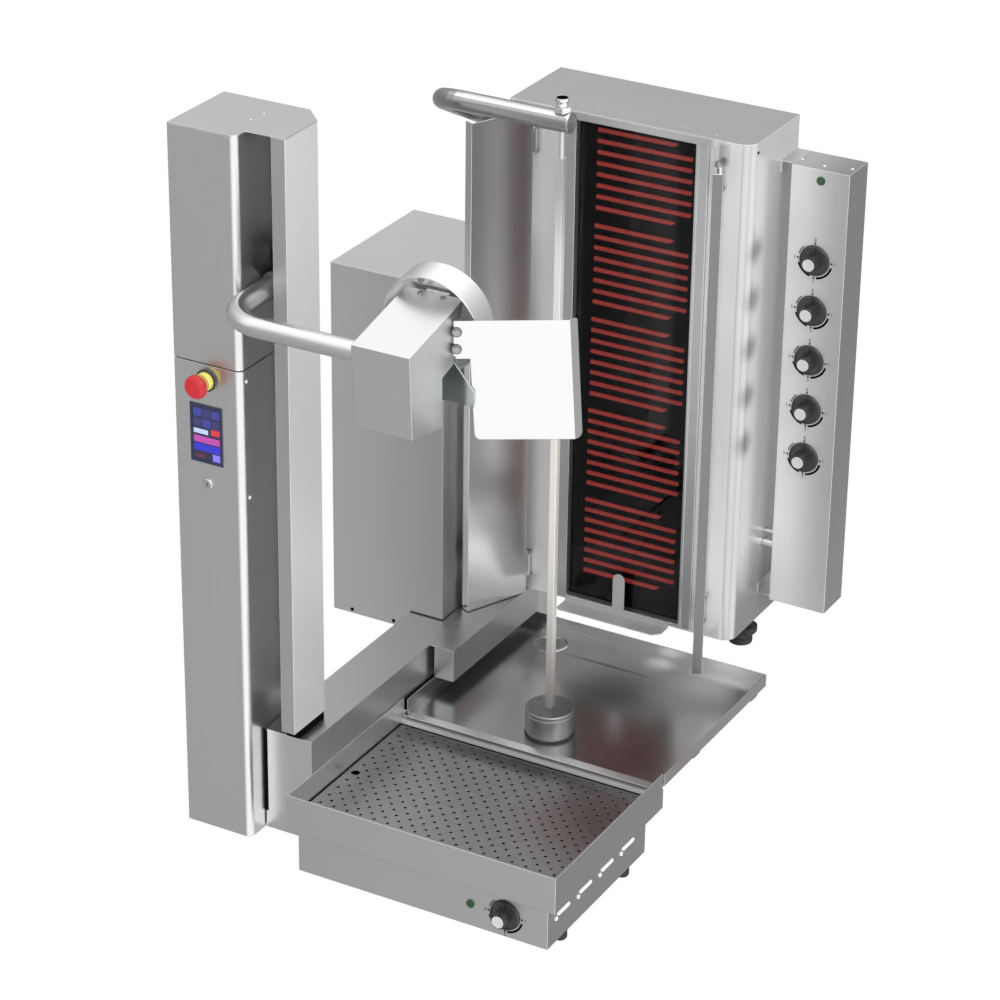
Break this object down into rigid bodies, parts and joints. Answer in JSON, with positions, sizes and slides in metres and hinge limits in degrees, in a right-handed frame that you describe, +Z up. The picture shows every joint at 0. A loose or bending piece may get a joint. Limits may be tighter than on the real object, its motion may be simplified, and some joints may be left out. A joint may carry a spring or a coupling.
{
  "type": "electric skewer grill",
  "caption": "Upright electric skewer grill with a motor lift and disc-knife arm, glass-front heater with side wings, driven skewer, drip tray and a pan with a perforated lift-out insert.",
  "frame": {"origin": "middle of the machine's footprint on the floor", "axes": "+Z up; +X to the right, seen from the front; +Y to the back, from the pan to the heater"},
  "size_m": [0.825, 1, 1.291],
  "materials": {
    "cover_steel": "brushed",
    "heater_steel": "brushed, nearly polished",
    "pan_steel": "satin",
    "bright_steel": "polished",
    "turned_steel": "turned and polished",
    "skewer_steel": "ground",
    "blade_steel": "ground",
    "frame_steel": "plain",
    "motor_paint": "satin black",
    "heater_glass": "dark, clear",
    "bar_red": "oxidised",
    "insulation": "fibre board",
    "knob_black": "satin",
    "stop_red": "gloss",
    "stop_yellow": "gloss",
    "screen": "gloss, dark blue",
    "lamp_green": "clear green",
    "rubber": "matt"
  },
  "bodies": {
    "machine": {"column_front_cover": "cover_steel", "column_lower_cover": "cover_steel", "column_side_cover": "cover_steel", "column_cap": "cover_steel", "column_post": "frame_steel", "lift_rail": "frame_steel", "screw_bearings": "frame_steel", "lift_motor": "motor_paint", "touch_screen": "screen", "stop_collar": "stop_yellow", "base_beam": "cover_steel", "side_rail": "cover_steel", "levelling_feet": "rubber", "control_cabinet": "cover_steel", "heater_housing": "heater_steel", "heater_insulation": "insulation", "heater_frame": "heater_steel", "heater_glass": "heater_glass", "heating_elements": "bar_red", "meat_guard": "heater_steel", "wing_hinges": "turned_steel", "panel_housing": "cover_steel", "panel_brackets": "cover_steel", "cable_conduit": "turned_steel", "power_regulators": "knob_black", "pilot_lamps": "lamp_green", "top_arm": "bright_steel", "clamp_nut": "turned_steel", "drip_tray": "pan_steel", "gear_motor": "motor_paint", "tray_bearers": "frame_steel", "hub_seal": "rubber", "pan_frame": "pan_steel", "pan_body": "pan_steel", "pan_element": "bar_red"},
    "arm": {"z_carriage": "frame_steel", "arm_tube": "bright_steel", "head_cover": "cover_steel", "knife_motor": "motor_paint", "knife_guard": "bright_steel", "deflector_bracket": "bright_steel", "deflector_plate": "bright_steel", "chute": "bright_steel", "head_bolts": "turned_steel"},
    "knife": {"knife_blade": "blade_steel"},
    "lift_screw": {"lead_screw": "turned_steel"},
    "spindle": {"skewer": "skewer_steel", "drive_hub": "turned_steel"},
    "sleeve": {"top_sleeve": "turned_steel"},
    "left_wing": {"left_wing": "heater_steel"},
    "right_wing": {"right_wing": "heater_steel"},
    "knob_1": {"panel_knob_1": "knob_black"},
    "knob_2": {"panel_knob_2": "knob_black"},
    "knob_3": {"panel_knob_3": "knob_black"},
    "knob_4": {"panel_knob_4": "knob_black"},
    "knob_5": {"panel_knob_5": "knob_black"},
    "pan_knob": {"pan_knob": "knob_black"},
    "stop": {"stop_button": "stop_red"},
    "key": {"key_barrel": "turned_steel"},
    "insert": {"perforated_insert": "pan_steel"}
  },
  "joints": [
    {"name": "arm_lift", "type": "slide", "parent": "machine", "child": "arm", "axis": [0, 0, 1], "range_m": [-0.62, 0.16]},
    {"name": "lead_screw_spin", "type": "hinge", "parent": "machine", "child": "lift_screw", "pos_m": [-0.2005, -0.297, 0.7], "axis": [0, 0, 1], "range_deg": [-2900, 11200]},
    {"name": "blade_spin", "type": "hinge", "parent": "arm", "child": "knife", "pos_m": [0.0695, -0.35, 1.037], "axis": [0, 0.9848, 0.1736], "continuous": true},
    {"name": "skewer_spin", "type": "hinge", "parent": "machine", "child": "spindle", "pos_m": [0.0915, 0.019, 0.6], "axis": [0, 0, 1], "continuous": true},
    {"name": "sleeve_lift", "type": "slide", "parent": "machine", "child": "sleeve", "axis": [0, 0, 1], "range_m": [0, 0.03]},
    {"name": "left_wing_swing", "type": "hinge", "parent": "machine", "child": "left_wing", "pos_m": [-0.1165, 0.308, 0.7], "axis": [0, 0, 1], "range_deg": [0, 60]},
    {"name": "right_wing_swing", "type": "hinge", "parent": "machine", "child": "right_wing", "pos_m": [0.2295, 0.308, 0.7], "axis": [0, 0, 1], "range_deg": [-60, 20]},
    {"name": "knob_1_turn", "type": "hinge", "parent": "machine", "child": "knob_1", "pos_m": [0.3575, 0.427, 0.926], "axis": [0, 1, 0], "range_deg": [0, 270]},
    {"name": "knob_2_turn", "type": "hinge", "parent": "machine", "child": "knob_2", "pos_m": [0.3575, 0.427, 0.83475], "axis": [0, 1, 0], "range_deg": [0, 270]},
    {"name": "knob_3_turn", "type": "hinge", "parent": "machine", "child": "knob_3", "pos_m": [0.3575, 0.427, 0.7435], "axis": [0, 1, 0], "range_deg": [0, 270]},
    {"name": "knob_4_turn", "type": "hinge", "parent": "machine", "child": "knob_4", "pos_m": [0.3575, 0.427, 0.65225], "axis": [0, 1, 0], "range_deg": [0, 270]},
    {"name": "knob_5_turn", "type": "hinge", "parent": "machine", "child": "knob_5", "pos_m": [0.3575, 0.427, 0.561], "axis": [0, 1, 0], "range_deg": [0, 270]},
    {"name": "pan_knob_turn", "type": "hinge", "parent": "machine", "child": "pan_knob", "pos_m": [0.2435, -0.405, 0.061], "axis": [0, 1, 0], "range_deg": [0, 270]},
    {"name": "stop_push", "type": "slide", "parent": "machine", "child": "stop", "axis": [0, 1, 0], "range_m": [0, 0.006], "stiffness_N_per_m": 1500},
    {"name": "key_turn", "type": "hinge", "parent": "machine", "child": "key", "pos_m": [-0.323, -0.385, 0.683], "axis": [0, 1, 0], "range_deg": [0, 90]},
    {"name": "insert_lift", "type": "slide", "parent": "machine", "child": "insert", "axis": [0, 0, 1], "range_m": [0, 0.12]}
  ],
  "couplings": [
    {"joint": "lead_screw_spin", "follows": "arm_lift", "rad_per_m": -314.16}
  ]
}
